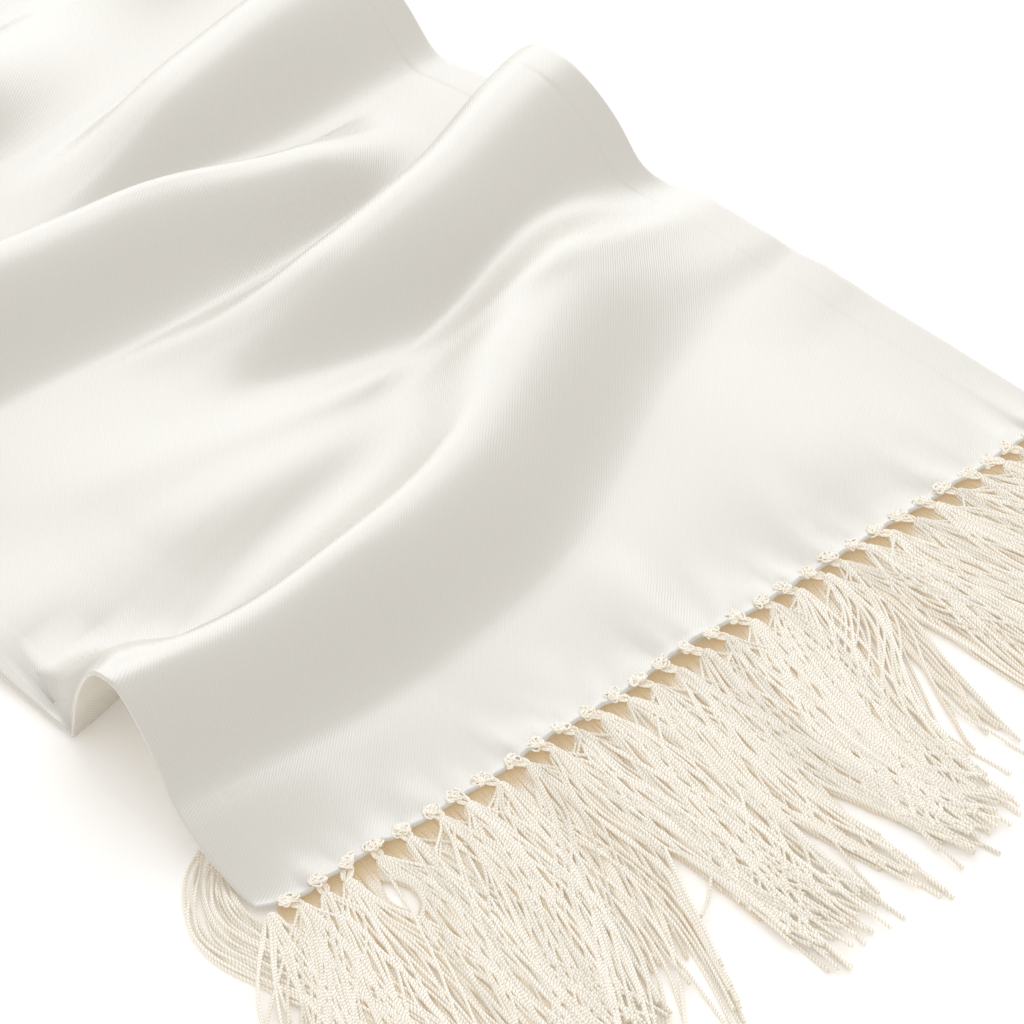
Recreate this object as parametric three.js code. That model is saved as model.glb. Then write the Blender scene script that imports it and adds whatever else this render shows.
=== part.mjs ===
// A formal silk scarf with knotted fringe at both ends, lying on a flat surface in loose cross folds.
//
// The cloth is a tube of two panels, an upper one and a lower one, that follow the same folds. Each end
// has a row of knots on the hem and a fringe of long cords, given here as the plain solid of its reach.
// Millimetres. +X runs across the scarf, +Y along it, +Z up. The origin is on the surface under the middle.

import * as THREE from "three";

// Driving sizes.
const CLOTH_WIDTH = 280;
const CLOTH_LENGTH = 1490;
const WALL = 1; // each panel's cloth
const GAP = 0.3; // between pieces that touch
const KNOT_ROW_DEPTH = 4.4; // along the scarf
const KNOT_ROW_RISE = 2.4; // above the cloth
const KNOT_ROW_OVERHANG = 1.2; // past the hem, over the fringe

const HALF_LENGTH = CLOTH_LENGTH / 2;
const HALF_WIDTH = CLOTH_WIDTH / 2;
const UPPER_PANEL_BASE = WALL + GAP;
const CLOTH_TOP = UPPER_PANEL_BASE + WALL;

// Where the folds' sizes are given, as shares of the half width: left edge, quarter, middle, quarter, right.
const STATIONS = [-1, -0.5, 0, 0.5, 1];
const COLUMNS = 11;

// A row for each fold, from the near hem to the far one, with one value for each station:
// crest is its distance from the near hem, height how far it rises, front and back how far its slopes reach
// from the crest towards the near and the far hem. The folds lean back, so their back slopes are steep.
const FOLDS = [
  {
    crest: [66, 76, 92, 116, 140],
    height: [27, 15.5, 7, 2.4, 1.2],
    front: [34, 58, 48, 26, 12],
    back: [14, 15, 14, 12, 9],
  },
  {
    crest: [204, 194, 179, 185, 205],
    height: [0, 0, 10, 18.5, 22],
    front: [36, 38, 40, 36, 40],
    back: [10, 11, 13, 16, 22],
  },
  {
    crest: [264, 252, 243, 234, 246],
    height: [21, 19, 14.5, 7, 0],
    front: [46, 44, 38, 26, 12],
    back: [14, 13, 12, 10, 8],
  },
  {
    crest: [302, 286, 269, 288, 301],
    height: [0, 0, 6, 13, 18],
    front: [14, 12, 9, 30, 38],
    back: [12, 12, 12, 14, 16],
  },
  {
    crest: [352, 346, 338, 348, 372],
    height: [15, 13, 9, 8, 11],
    front: [36, 38, 42, 36, 44],
    back: [18, 16, 15, 15, 18],
  },
  {
    crest: [462, 448, 438, 446, 462],
    height: [10, 12, 8, 3, 0],
    front: [54, 50, 46, 44, 40],
    back: [22, 22, 20, 18, 16],
  },
  {
    crest: [566, 556, 542, 548, 564],
    height: [0, 5, 11, 15, 17],
    front: [38, 42, 46, 50, 54],
    back: [16, 18, 20, 22, 24],
  },
  {
    crest: [672, 658, 648, 642, 652],
    height: [17, 13, 8, 3, 0],
    front: [52, 48, 46, 40, 38],
    back: [24, 22, 20, 18, 16],
  },
  {
    crest: [786, 776, 762, 768, 784],
    height: [3, 8, 12, 10, 5],
    front: [44, 48, 50, 50, 46],
    back: [20, 22, 22, 22, 20],
  },
  {
    crest: [906, 900, 890, 882, 894],
    height: [14, 9, 4, 0, 0],
    front: [52, 50, 44, 40, 38],
    back: [24, 22, 18, 16, 16],
  },
  {
    crest: [1040, 1030, 1012, 1020, 1036],
    height: [0, 3, 8, 12, 15],
    front: [38, 42, 46, 50, 52],
    back: [16, 18, 20, 22, 24],
  },
  {
    crest: [1172, 1158, 1150, 1142, 1152],
    height: [12, 10, 5, 2, 0],
    front: [50, 48, 44, 40, 38],
    back: [22, 20, 18, 16, 16],
  },
  {
    crest: [1300, 1290, 1278, 1284, 1300],
    height: [2, 5, 9, 8, 6],
    front: [40, 44, 48, 46, 44],
    back: [18, 20, 20, 20, 18],
  },
  {
    crest: [1418, 1410, 1400, 1394, 1402],
    height: [9, 6, 3, 0, 0],
    front: [44, 42, 38, 36, 36],
    back: [20, 18, 16, 14, 14],
  },
];
const SHARP_FOLDS = 5; // the first folds, which have the most rows of points
const SHARP_ROWS = [-1, -0.78, -0.56, -0.34, -0.12, 0.2, 0.55, 0.85, 1];
const GENTLE_ROWS = [-1, -0.5, 0, 0.55, 1];
const BACK_FULLNESS = 0.75; // below 1, the back slope is rounder at the top and steeper at its foot

// The fringe at the near hem, a row for each line along its cords from left to right: where the line leaves
// the cloth and where it ends, x across the scarf and out from the hem. Its cords lean to the left, and some
// come round the left corner from under the edge.
const FRINGE_LINES = [
  { rootX: -140.6, rootOut: -26, tipX: -150, tipOut: -28 },
  { rootX: -140.6, rootOut: -13, tipX: -158, tipOut: -14 },
  { rootX: -140.6, rootOut: GAP, tipX: -160, tipOut: 12 },
  { rootX: -135, rootOut: GAP, tipX: -160, tipOut: 50 },
  { rootX: -126, rootOut: GAP, tipX: -156, tipOut: 84 },
  { rootX: -108, rootOut: GAP, tipX: -136, tipOut: 93 },
  { rootX: -75, rootOut: GAP, tipX: -100, tipOut: 88 },
  { rootX: -40, rootOut: GAP, tipX: -62, tipOut: 94 },
  { rootX: 0, rootOut: GAP, tipX: -22, tipOut: 89 },
  { rootX: 40, rootOut: GAP, tipX: 18, tipOut: 94 },
  { rootX: 80, rootOut: GAP, tipX: 60, tipOut: 90 },
  { rootX: 115, rootOut: GAP, tipX: 94, tipOut: 94 },
  { rootX: 140, rootOut: GAP, tipX: 122, tipOut: 86 },
];
// Its thickness at shares of the way out to the tips.
const FRINGE_THICKNESS = [
  { share: 0, thick: 2.2 },
  { share: 0.06, thick: 2.3 },
  { share: 0.16, thick: 4.5 },
  { share: 0.4, thick: 5.5 },
  { share: 0.7, thick: 4.5 },
  { share: 1, thick: 2 },
];

const silk = new THREE.MeshStandardMaterial({ color: 0xf3f0ea, roughness: 0.42, metalness: 0 });
const cord = new THREE.MeshStandardMaterial({ color: 0xf6eedf, roughness: 0.6, metalness: 0 });

// The value between the stations at one place across the width, on a smooth curve through all of them.
function across(values, place) {
  const spans = STATIONS.length - 1;
  const along = ((place - STATIONS[0]) / (STATIONS[spans] - STATIONS[0])) * spans;
  const span = Math.min(Math.floor(along), spans - 1);
  const t = along - span;
  const from = values[span];
  const to = values[span + 1];
  const slopeFrom = (to - (values[span - 1] ?? from)) / 2;
  const slopeTo = ((values[span + 2] ?? to) - from) / 2;
  return (
    from * (1 + 2 * t) * (1 - t) ** 2 +
    slopeFrom * t * (1 - t) ** 2 +
    to * t ** 2 * (3 - 2 * t) +
    slopeTo * t ** 2 * (t - 1)
  );
}

// One point of a fold: reach is -1 at its front foot, 0 at the crest and 1 at its back foot.
function foldPoint(fold, reach, place) {
  const slope = across(reach < 0 ? fold.front : fold.back, place);
  const rise = Math.max(0, across(fold.height, place));
  const share = reach < 0 ? Math.cos((reach * Math.PI) / 2) ** 2 : (1 - reach ** 2) ** BACK_FULLNESS;
  return new THREE.Vector3(
    place * HALF_WIDTH,
    across(fold.crest, place) + reach * slope - HALF_LENGTH,
    rise * share,
  );
}

// The line of points across the cloth at each row, from the near hem to the far one.
function clothRows() {
  const places = Array.from({ length: COLUMNS }, (_, i) => (2 * i) / (COLUMNS - 1) - 1);
  const hem = (end) => places.map((place) => new THREE.Vector3(place * HALF_WIDTH, end * HALF_LENGTH, 0));
  const folded = FOLDS.flatMap((fold, i) =>
    (i < SHARP_FOLDS ? SHARP_ROWS : GENTLE_ROWS).map((reach) =>
      places.map((place) => foldPoint(fold, reach, place)),
    ),
  );
  return [hem(-1), ...folded, hem(1)];
}

// The upward normal at each point of a grid of rows.
function gridNormals(rows) {
  return rows.map((row, r) =>
    row.map((_, c) => {
      const before = rows[Math.max(r - 1, 0)][c];
      const after = rows[Math.min(r + 1, rows.length - 1)][c];
      const left = row[Math.max(c - 1, 0)];
      const right = row[Math.min(c + 1, row.length - 1)];
      const alongRow = right.clone().sub(left);
      const alongColumn = after.clone().sub(before);
      return alongRow.cross(alongColumn).normalize();
    }),
  );
}

// A closed solid between two grids of points with the same number of rows and columns.
function solidBetween(lower, upper) {
  const rowCount = lower.length;
  const columnCount = lower[0].length;
  const positions = [...lower, ...upper].flat().flatMap((point) => point.toArray());
  const index = [];
  const at = (layer, r, c) => (layer * rowCount + r) * columnCount + c;
  const quad = (a, b, c, d) => index.push(a, b, c, a, c, d);
  for (let r = 0; r < rowCount - 1; r++) {
    for (let c = 0; c < columnCount - 1; c++) {
      quad(at(1, r, c), at(1, r, c + 1), at(1, r + 1, c + 1), at(1, r + 1, c));
      quad(at(0, r, c), at(0, r + 1, c), at(0, r + 1, c + 1), at(0, r, c + 1));
    }
    const lastColumn = columnCount - 1;
    quad(at(0, r, 0), at(1, r, 0), at(1, r + 1, 0), at(0, r + 1, 0));
    quad(at(0, r, lastColumn), at(0, r + 1, lastColumn), at(1, r + 1, lastColumn), at(1, r, lastColumn));
  }
  const lastRow = rowCount - 1;
  for (let c = 0; c < columnCount - 1; c++) {
    quad(at(0, 0, c), at(0, 0, c + 1), at(1, 0, c + 1), at(1, 0, c));
    quad(at(0, lastRow, c), at(1, lastRow, c), at(1, lastRow, c + 1), at(0, lastRow, c + 1));
  }
  const geometry = new THREE.BufferGeometry();
  geometry.setAttribute("position", new THREE.Float32BufferAttribute(positions, 3));
  geometry.setIndex(index);
  return geometry;
}

// A panel of cloth, its underside raised by base from the rows along their normals.
function panel(name, rows, normals, base) {
  const raised = (height) =>
    rows.map((row, r) => row.map((point, c) => point.clone().addScaledVector(normals[r][c], height)));
  const mesh = new THREE.Mesh(solidBetween(raised(base), raised(base + WALL)), silk);
  mesh.name = name;
  return mesh;
}

// The fringe's reach at the near hem: flat underneath, thickest where the cords cross.
function fringe(name) {
  const underside = FRINGE_THICKNESS.map(({ share }) =>
    FRINGE_LINES.map(
      ({ rootX, rootOut, tipX, tipOut }) =>
        new THREE.Vector3(
          THREE.MathUtils.lerp(rootX, tipX, share),
          -HALF_LENGTH - THREE.MathUtils.lerp(rootOut, tipOut, share),
          0,
        ),
    ),
  ).reverse();
  const thickness = FRINGE_THICKNESS.map(({ thick }) => thick).reverse();
  const top = underside.map((row, r) => row.map((point) => point.clone().setZ(thickness[r])));
  const mesh = new THREE.Mesh(solidBetween(underside, top), cord);
  mesh.name = name;
  return mesh;
}

// The row of knots on the near hem: a low round-topped strip that lies on the upper panel.
function knotRow(name) {
  const section = new THREE.Shape();
  section.moveTo(-KNOT_ROW_DEPTH / 2, 0);
  section.absellipse(0, 0, KNOT_ROW_DEPTH / 2, KNOT_ROW_RISE, Math.PI, 0, true, 0);
  section.closePath();
  const geometry = new THREE.ExtrudeGeometry(section, {
    depth: CLOTH_WIDTH,
    bevelEnabled: false,
    curveSegments: 8,
  });
  // The section's X runs along the scarf and its Y is up, so the extrusion runs across the scarf.
  geometry.applyMatrix4(
    new THREE.Matrix4().makeBasis(
      new THREE.Vector3(0, 1, 0),
      new THREE.Vector3(0, 0, 1),
      new THREE.Vector3(1, 0, 0),
    ),
  );
  const mesh = new THREE.Mesh(geometry, cord);
  mesh.name = name;
  mesh.position.set(
    -HALF_WIDTH,
    -HALF_LENGTH + KNOT_ROW_DEPTH / 2 - KNOT_ROW_OVERHANG,
    CLOTH_TOP + GAP,
  );
  return mesh;
}

// What is sewn to one end, made at the near hem and turned half round for the far one.
function endTrim(suffix, turn) {
  const group = new THREE.Group();
  group.add(fringe(`fringe_${suffix}`), knotRow(`knots_${suffix}`));
  group.rotation.z = turn;
  return group;
}

const rows = clothRows();
const normals = gridNormals(rows);
const scarf = new THREE.Group();
scarf.add(
  panel("lower_panel", rows, normals, 0),
  panel("upper_panel", rows, normals, UPPER_PANEL_BASE),
  endTrim("near", 0),
  endTrim("far", Math.PI),
);

export default scarf;
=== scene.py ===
"""Builds the look of a formal silk scarf with knotted fringe, laid on a flat surface in loose folds.

The two panels of the silk tube are thin shells on the frame's folds. The fringe is made of separate twisted
cords that are tied through the hem in small knots and lie on each other.
Tables are in millimetres: x across the scarf from its middle, y along it from the near hem, z up.
"""

import math
from collections import namedtuple

import bpy
import numpy as np
from mathutils import Matrix, Vector


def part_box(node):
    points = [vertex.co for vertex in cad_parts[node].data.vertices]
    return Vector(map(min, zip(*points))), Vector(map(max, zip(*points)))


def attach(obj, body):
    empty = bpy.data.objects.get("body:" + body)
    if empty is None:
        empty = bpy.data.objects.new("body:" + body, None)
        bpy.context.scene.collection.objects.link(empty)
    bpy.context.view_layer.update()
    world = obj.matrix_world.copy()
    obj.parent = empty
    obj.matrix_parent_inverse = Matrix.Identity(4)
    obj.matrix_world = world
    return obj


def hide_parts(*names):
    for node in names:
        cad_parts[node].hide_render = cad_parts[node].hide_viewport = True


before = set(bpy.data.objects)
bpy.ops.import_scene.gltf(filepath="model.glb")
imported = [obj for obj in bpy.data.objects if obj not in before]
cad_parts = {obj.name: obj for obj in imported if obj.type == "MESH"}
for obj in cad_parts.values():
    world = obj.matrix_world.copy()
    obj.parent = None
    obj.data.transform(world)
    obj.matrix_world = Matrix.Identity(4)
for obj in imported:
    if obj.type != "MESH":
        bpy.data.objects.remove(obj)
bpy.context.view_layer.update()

bl_info = {
    "name": "Silk scarf with knotted fringe",
    "version": (1, 0, 0),
    "blender": (4, 5, 0),
    "location": "3D View > Sidebar > Scarf",
    "description": "Makes a folded silk scarf with its knots and fringe, and a plain stage",
    "category": "Object",
}

MM = 0.001
PANEL_LOW, PANEL_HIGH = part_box("lower_panel")
NEAR_HEM = PANEL_LOW.y
CLOTH_LENGTH = (PANEL_HIGH.y - PANEL_LOW.y) / MM
HALF_WIDTH = 140.0
BODY = "root"

# The folds' sizes are given at these shares of the half width.
STATIONS = (-1, -0.5, 0, 0.5, 1)

# A row for each fold, from the near hem to the far one: how far its crest is from the near hem, how high
# it rises, and how far its front and back slopes reach, each at the five stations from left to right.
FOLDS = (
    ((66, 73, 91, 129, 146), (28.3, 19, 15.5, 14.6, 7.5), (29, 36, 45, 50, 46), (14, 30, 38, 28, 22)),
    ((204, 192, 176, 183, 203), (0, 2, 10, 19.4, 23.2), (30, 30, 32, 49, 55), (16, 14, 18, 17, 22)),
    ((252, 243, 240, 228, 238), (22, 20, 15.4, 9, 4), (50, 46, 42, 26, 14), (14, 12, 11, 12, 10)),
    ((302, 280, 268, 284, 296), (0, 0, 4, 15, 19), (14, 10, 12, 38, 48), (12, 12, 20, 18, 16)),
    ((352, 346, 338, 348, 372), (15.6, 14, 12, 2, 11.6), (36, 38, 42, 36, 44), (18, 16, 15, 15, 18)),
    ((462, 448, 438, 446, 462), (10, 12, 8, 3, 0), (54, 50, 46, 44, 40), (22, 22, 20, 18, 16)),
    ((566, 556, 542, 548, 564), (0, 5, 11, 15, 17), (38, 42, 46, 50, 54), (16, 18, 20, 22, 24)),
    ((672, 658, 648, 642, 652), (17, 13, 8, 3, 0), (52, 48, 46, 40, 38), (24, 22, 20, 18, 16)),
    ((786, 776, 762, 768, 784), (3, 8, 12, 10, 5), (44, 48, 50, 50, 46), (20, 22, 22, 22, 20)),
    ((906, 900, 890, 882, 894), (14, 9, 4, 0, 0), (52, 50, 44, 40, 38), (24, 22, 18, 16, 16)),
    ((1040, 1030, 1012, 1020, 1036), (0, 3, 8, 12, 15), (38, 42, 46, 50, 52), (16, 18, 20, 22, 24)),
    ((1172, 1158, 1150, 1142, 1152), (12, 10, 5, 2, 0), (50, 48, 44, 40, 38), (22, 20, 18, 16, 16)),
    ((1300, 1290, 1278, 1284, 1300), (2, 5, 9, 8, 6), (40, 44, 48, 46, 44), (18, 20, 20, 20, 18)),
    ((1418, 1410, 1400, 1394, 1402), (9, 6, 3, 0, 0), (44, 42, 38, 36, 36), (20, 18, 16, 14, 14)),
)
CREST, RISE, FRONT, BACK = range(4)

# Folds that end within the width: the fold's number, where it starts from nothing and where it is full.
ENDS = {0: (140, 78), 1: (-38, 34), 2: (108, 60), 3: (-24, 56)}

# The folds' sections: the width of a crest, how full a round back is, how steeply a sharp crest's back and
# the first fold's hollow back fall, and where on a back its foot starts. Sharp crests stay round up to
# ROUND_EDGE from the left edge and grow sharp over ROUND_FADE.
FLAT_TOP = 2.5
BACK_FULLNESS = 0.75
SHARP_CRESTS = (0, 2)
BACK_SHARPNESS = 1.35
HOLLOW_BACK = 2.4
ROUND_EDGE = 8
ROUND_FADE = 30
FOOT_START = 0.45

# Beside the left edge the first fold's back is drawn out straight and reaches further from the crest. That
# grows in over the edge's first few millimetres and then fades.
BRIDGE_GROWTH = 9
BRIDGE_FADE = 45
BRIDGE_REACH = 18

# Loose cloth is less uneven within HEM_CALM of a hem. It lifts at the left corner: how much, how far
# across, and round which place and how far along the scarf.
HEM_CALM = 45
CORNER_RISE = 3.6
CORNER_ACROSS = 46
CORNER_MIDDLE = 37
CORNER_ALONG = 23

# Rows of points on a fold's front, on its back and between two folds, for the first SHARP_FOLDS folds and
# for the others; rows between the last fold and the far hem; and the rows and columns beside the edges.
SHARP_FOLDS = 5
ROWS_FRONT = (18, 9)
ROWS_BACK = (11, 5)
ROWS_BETWEEN = (8, 7)
ROWS_LAST = 8
HEM_INSETS = (0, 0.12, 0.35, 0.7, 1.2, 2.0, 3.2, 4.8, 7.0, 10.0)
SIDE_INSETS = (0, 0.12, 0.35, 0.7, 1.2, 2, 3.4, 5.4, 7.6, 9.8, 11, 11.6, 12.1, 12.6, 13.3, 14.6)
MIDDLE_COLUMNS = 88

# How much the seam allowance inside the tube lifts the cloth, and how far the cloth dips beside it.
SEAM_RISE = 0.12
SEAM_DIP = 0.04

# Each end's seed. The gathers, the knots and the tassels start from it, so they share their places.
NEAR_SEED = 11
FAR_SEED = 23

# Small creases: from x, y, to x, y, how far each reaches towards the near hem and away from it, its rise,
# and how far its middle bows away from the near hem.
CREASES = (
    (-110, 158, 150, 138, 6.5, 14, 2.3, -12),
    (-100, 122, 50, 132, 13, 16, 3.6, -4),
    (-165, 118, -80, 122, 13, 22, 2.4, 0),
    (-215, 34, -60, 38, 20, 16, 4.2, 0),
    (-70, 195, 125, 216, 9, 3, 1.0, -12),
    (-10, 250, 62, 240, 9, 4, 2.2, 0),
    (-14, -12, 10, 42, 5, 10, 1.6, 0),
    (-45, 158, 20, 166, 9, 12, 0.7, 4),
    (38, -10, 62, 34, 4, 8, 0.9, 0),
    (-50, -10, -32, 26, 4, 7, 0.6, 0),
    (-120, -10, -94, 26, 4, 7, 0.7, 0),
    (96, -10, 112, 34, 5, 7, 0.5, 0),
    (95, 82, 185, 90, 6, 9, 1.6, 0),
    (96, 134, 184, 132, 15, 11, 2.2, 0),
    (85, 112, 195, 110, 9, 12, 1.1, 0),
)


def across(values, place):
    """The value at each place across the width, on a smooth curve through the stations' values."""
    ends = np.array([values[0], *values, values[-1]], float)
    along = (place - STATIONS[0]) * 2
    span = np.clip(np.floor(along).astype(int), 0, len(STATIONS) - 2)
    t = along - span
    before, start, end, after = (ends[span + k] for k in range(4))
    return (
        start * (1 + 2 * t) * (1 - t) ** 2
        + (end - before) / 2 * t * (1 - t) ** 2
        + end * t**2 * (3 - 2 * t)
        + (after - start) / 2 * t**2 * (t - 1)
    )


def smooth(t):
    """A soft step from 0 to 1."""
    t = np.clip(t, 0, 1)
    return t * t * (3 - 2 * t)


def blend(first, second, share):
    """The first at share 0, the second at share 1."""
    return first * (1 - share) + second * share


def bridge(behind, from_crest, reach, from_edge):
    """The back of the first fold, drawn out straight beside the left edge."""
    share = smooth(from_edge / BRIDGE_GROWTH) * (1 - smooth((from_edge - ROUND_EDGE) / BRIDGE_FADE))
    way = np.clip(from_crest / (reach + share * BRIDGE_REACH), 0, 1)
    straight = (1 - way) * (1 + 1.1 * way * (1 - way))
    above = (straight - behind) * share
    rounding = 0.4 * share * way * (1 - way)
    return behind + (above + np.hypot(above, rounding)) / 2


def fold_height(x, y, bridged):
    """How far the folds lift the cloth. The upper panel bridges the first fold's back at the left edge."""
    place = x / HALF_WIDTH
    height = np.zeros_like(x)
    from_edge = x + HALF_WIDTH
    for number, fold in enumerate(FOLDS):
        from_crest = y - across(fold[CREST], place)
        rise = across(fold[RISE], place)
        if number in ENDS:
            start, full = ENDS[number]
            rise = rise * smooth((x - start) / (full - start))
        front = np.clip((-from_crest - FLAT_TOP) / across(fold[FRONT], place), 0, 1)
        back_reach = across(fold[BACK], place)
        back = np.clip(from_crest / back_reach, 0, 1)
        round_top = (1 - back**2) ** BACK_FULLNESS
        soft = np.cos(back * math.pi / 2) ** 2
        inward = smooth((from_edge - ROUND_EDGE) / ROUND_FADE) if number in SHARP_CRESTS else 0
        if number == 0:
            gentle = smooth((from_edge - 110) / 70)
            falling = blend((1 - back) ** HOLLOW_BACK, soft, gentle)
            behind = blend(round_top, falling, inward)
        else:
            foot = smooth((back - FOOT_START) / (1 - FOOT_START))
            behind = blend(blend(round_top, 1 - back**BACK_SHARPNESS, inward), soft, foot)
        if number == 0 and bridged:
            behind = bridge(behind, from_crest, back_reach, from_edge)
        height += rise * np.where(from_crest < 0, np.cos(front * math.pi / 2) ** 2, behind)
    return height


def swell(x, y):
    """The slow unevenness of cloth that lies loose."""
    return (
        0.5 * np.sin(x / 31 + y / 47 + 0.6)
        + 0.45 * np.sin(x / 53 - y / 29 + 2.1)
        + 0.35 * np.sin(x / 17 + y / 83 + 4.0)
        + 0.22 * np.sin(x / 11 - y / 37 + 1.0 + 1.5 * np.sin(y / 61))
        + 1.5
    )


def crease_height(x, y):
    """The small creases' share of the height."""
    height = np.zeros_like(x)
    for x0, y0, x1, y1, near, far, rise, bow in CREASES:
        length = math.hypot(x1 - x0, y1 - y0)
        ux, uy = (x1 - x0) / length, (y1 - y0) / length
        along = ((x - x0) * ux + (y - y0) * uy) / length
        aside = (y - y0) * ux - (x - x0) * uy - bow * 4 * along * (1 - along)
        reach = np.where(aside < 0, near, far)
        taper = np.sin(np.clip(along, 0, 1) * math.pi) ** 1.3
        height += rise * taper * np.exp(-((aside / reach) ** 2))
    return height


def cloth_height(x, y, bridged):
    """The height of the cloth's underside above the surface that it lies on."""
    from_hems = smooth(y / HEM_CALM) * smooth((CLOTH_LENGTH - y) / HEM_CALM)
    corner_fall = -(((x + HALF_WIDTH) / CORNER_ACROSS) ** 2) - ((y - CORNER_MIDDLE) / CORNER_ALONG) ** 2
    loose = (swell(x, y) - 0.3) * (0.4 + 0.6 * from_hems)
    right_side = 1.5 * (1 - smooth((x - 84) / 54)) * smooth((x - 20) / 60)
    right_side = right_side * smooth(y / 30) * (1 - smooth((y - 70) / 50))
    lift = fold_height(x, y, bridged) + loose + crease_height(x, y)
    return np.maximum(lift + CORNER_RISE * np.exp(corner_fall) + right_side, 0)


def hem_puckers(x, y, sizes):
    """The small gathers that the knots pull in the cloth, and the raised edge of the hem."""
    height = np.zeros_like(x)
    for seed, from_hem, across_hem in ((NEAR_SEED, y, x), (FAR_SEED, CLOTH_LENGTH - y, -x)):
        rng = np.random.default_rng(seed)
        for knot in knot_places(rng, sizes):
            lift = rng.uniform(0.6, 2.1)
            lean = rng.uniform(-0.4, 0.7)
            wide = rng.uniform(2.2, 3.8)
            reach = rng.uniform(5, 14)
            aside = (across_hem - knot - 4 - lean * from_hem) / wide
            height += lift * np.exp(-(aside**2) - (from_hem / reach) ** 2)
        height += 0.35 * np.exp(-((from_hem / 1.6) ** 2))
    return height


def edge_shift(x, y):
    """How far the side edges wander from straight."""
    left = -4.4 * (1 - smooth((y - 24) / 24)) + 1.2 * np.sin(y / 61)
    right = -3.0 * np.exp(-(((y - 160) / 10) ** 2)) - 3.2 * np.exp(-(((y - 250) / 13) ** 2))
    right = right + 1.0 * np.sin(y / 53 + 1)
    near_edge = smooth((np.abs(x) - 70) / 70)
    return np.where(x < 0, left, right) * near_edge


def hem_shift(x, y):
    """How far the hems wander from straight."""
    near = -1.9 + 1.6 * np.exp(-(((x + 5) / 14) ** 2)) + 0.3 * np.sin(x / 9 + 1)
    near = near + 5 * np.clip((-126 - x) / 14, 0, 1) ** 2
    far = 0.6 * np.sin(x / 37 + 2) + 0.3 * np.sin(x / 11)
    return near * (1 - smooth(y / 30)) + far * (1 - smooth((CLOTH_LENGTH - y) / 30))


def column_places():
    """Where the columns of points lie across the width, closest at the edges."""
    edge = np.array(SIDE_INSETS)
    middle = np.linspace(-HALF_WIDTH + 17, HALF_WIDTH - 17, MIDDLE_COLUMNS)
    return np.concatenate([edge - HALF_WIDTH, middle, (HALF_WIDTH - edge)[::-1]])


def row_places(x, fine):
    """The distance from the near hem of each row at each column, so that rows run along the folds.

    fine scales the number of rows. Each key is a line along the cloth and the number of rows up to it.
    """
    place = x / HALF_WIDTH
    near, far = np.zeros_like(x), np.full_like(x, CLOTH_LENGTH)
    columns = {key: [across(fold[key], place) for fold in FOLDS] for key in (CREST, FRONT, BACK)}
    crests = [near + 4, *columns[CREST], far]
    fronts = [*columns[FRONT], near + 10]
    backs = [near + 4, *columns[BACK]]
    keys = []
    for number in range(len(FOLDS) + 1):
        plain = int(number >= SHARP_FOLDS)
        gap = crests[number + 1] - crests[number]
        fit = np.minimum(1, 0.94 * gap / (backs[number] + fronts[number]))
        if number:
            keys.append((crests[number], ROWS_FRONT[plain]))
            keys.append((crests[number] + backs[number] * fit, ROWS_BACK[plain]))
        if number < len(FOLDS):
            keys.append((crests[number + 1] - fronts[number] * fit, ROWS_BETWEEN[plain]))
    rows = [near + inset for inset in HEM_INSETS]
    start = rows[-1]
    for end, count in keys:
        steps = max(round(count * fine), 2)
        rows += [start + (end - start) * (k + 1) / steps for k in range(steps)]
        start = end
    last = far - HEM_INSETS[-1]
    rows += [start + (last - start) * (k + 1) / ROWS_LAST for k in range(ROWS_LAST)]
    rows += [far - inset for inset in HEM_INSETS[-2::-1]]
    return np.array(rows)


def grid_normals(points):
    """The upward normal at each point of a grid of rows."""
    rows_way = np.gradient(points, axis=0)
    columns_way = np.gradient(points, axis=1)
    normals = np.cross(columns_way, rows_way)
    return normals / np.linalg.norm(normals, axis=2, keepdims=True)


def new_object(name, data):
    """An object in the scene, at the origin."""
    made = bpy.data.objects.new(name, data)
    bpy.context.scene.collection.objects.link(made)
    return made


def shell_mesh(name, lower, upper, weave):
    """A closed thin shell between two grids of points, with the flat cloth's measure as its UV map."""
    rows, columns = lower.shape[:2]
    points = np.concatenate([lower.reshape(-1, 3), upper.reshape(-1, 3)]) * MM
    points[:, 1] += NEAR_HEM
    index = np.arange(rows * columns).reshape(rows, columns)
    over = index + rows * columns
    corners = (
        (over[:-1, :-1], over[:-1, 1:], over[1:, 1:], over[1:, :-1]),
        (index[:-1, :-1], index[1:, :-1], index[1:, 1:], index[:-1, 1:]),
        (index[:-1, 0], over[:-1, 0], over[1:, 0], index[1:, 0]),
        (index[:-1, -1], index[1:, -1], over[1:, -1], over[:-1, -1]),
        (index[0, :-1], index[0, 1:], over[0, 1:], over[0, :-1]),
        (index[-1, :-1], over[-1, :-1], over[-1, 1:], index[-1, 1:]),
    )
    faces = np.concatenate([np.stack(four, -1).reshape(-1, 4) for four in corners])
    mesh = bpy.data.meshes.new(name)
    mesh.vertices.add(len(points))
    mesh.vertices.foreach_set("co", points.ravel())
    mesh.loops.add(faces.size)
    mesh.loops.foreach_set("vertex_index", faces.ravel())
    mesh.polygons.add(len(faces))
    mesh.polygons.foreach_set("loop_start", np.arange(0, faces.size, 4))
    mesh.update(calc_edges=True)
    flat = np.concatenate([weave.reshape(-1, 2)] * 2) * MM
    uv = mesh.uv_layers.new(name="weave")
    uv.data.foreach_set("uv", flat[faces.ravel()].ravel())
    mesh.validate()
    mesh.shade_smooth()
    return mesh


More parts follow.
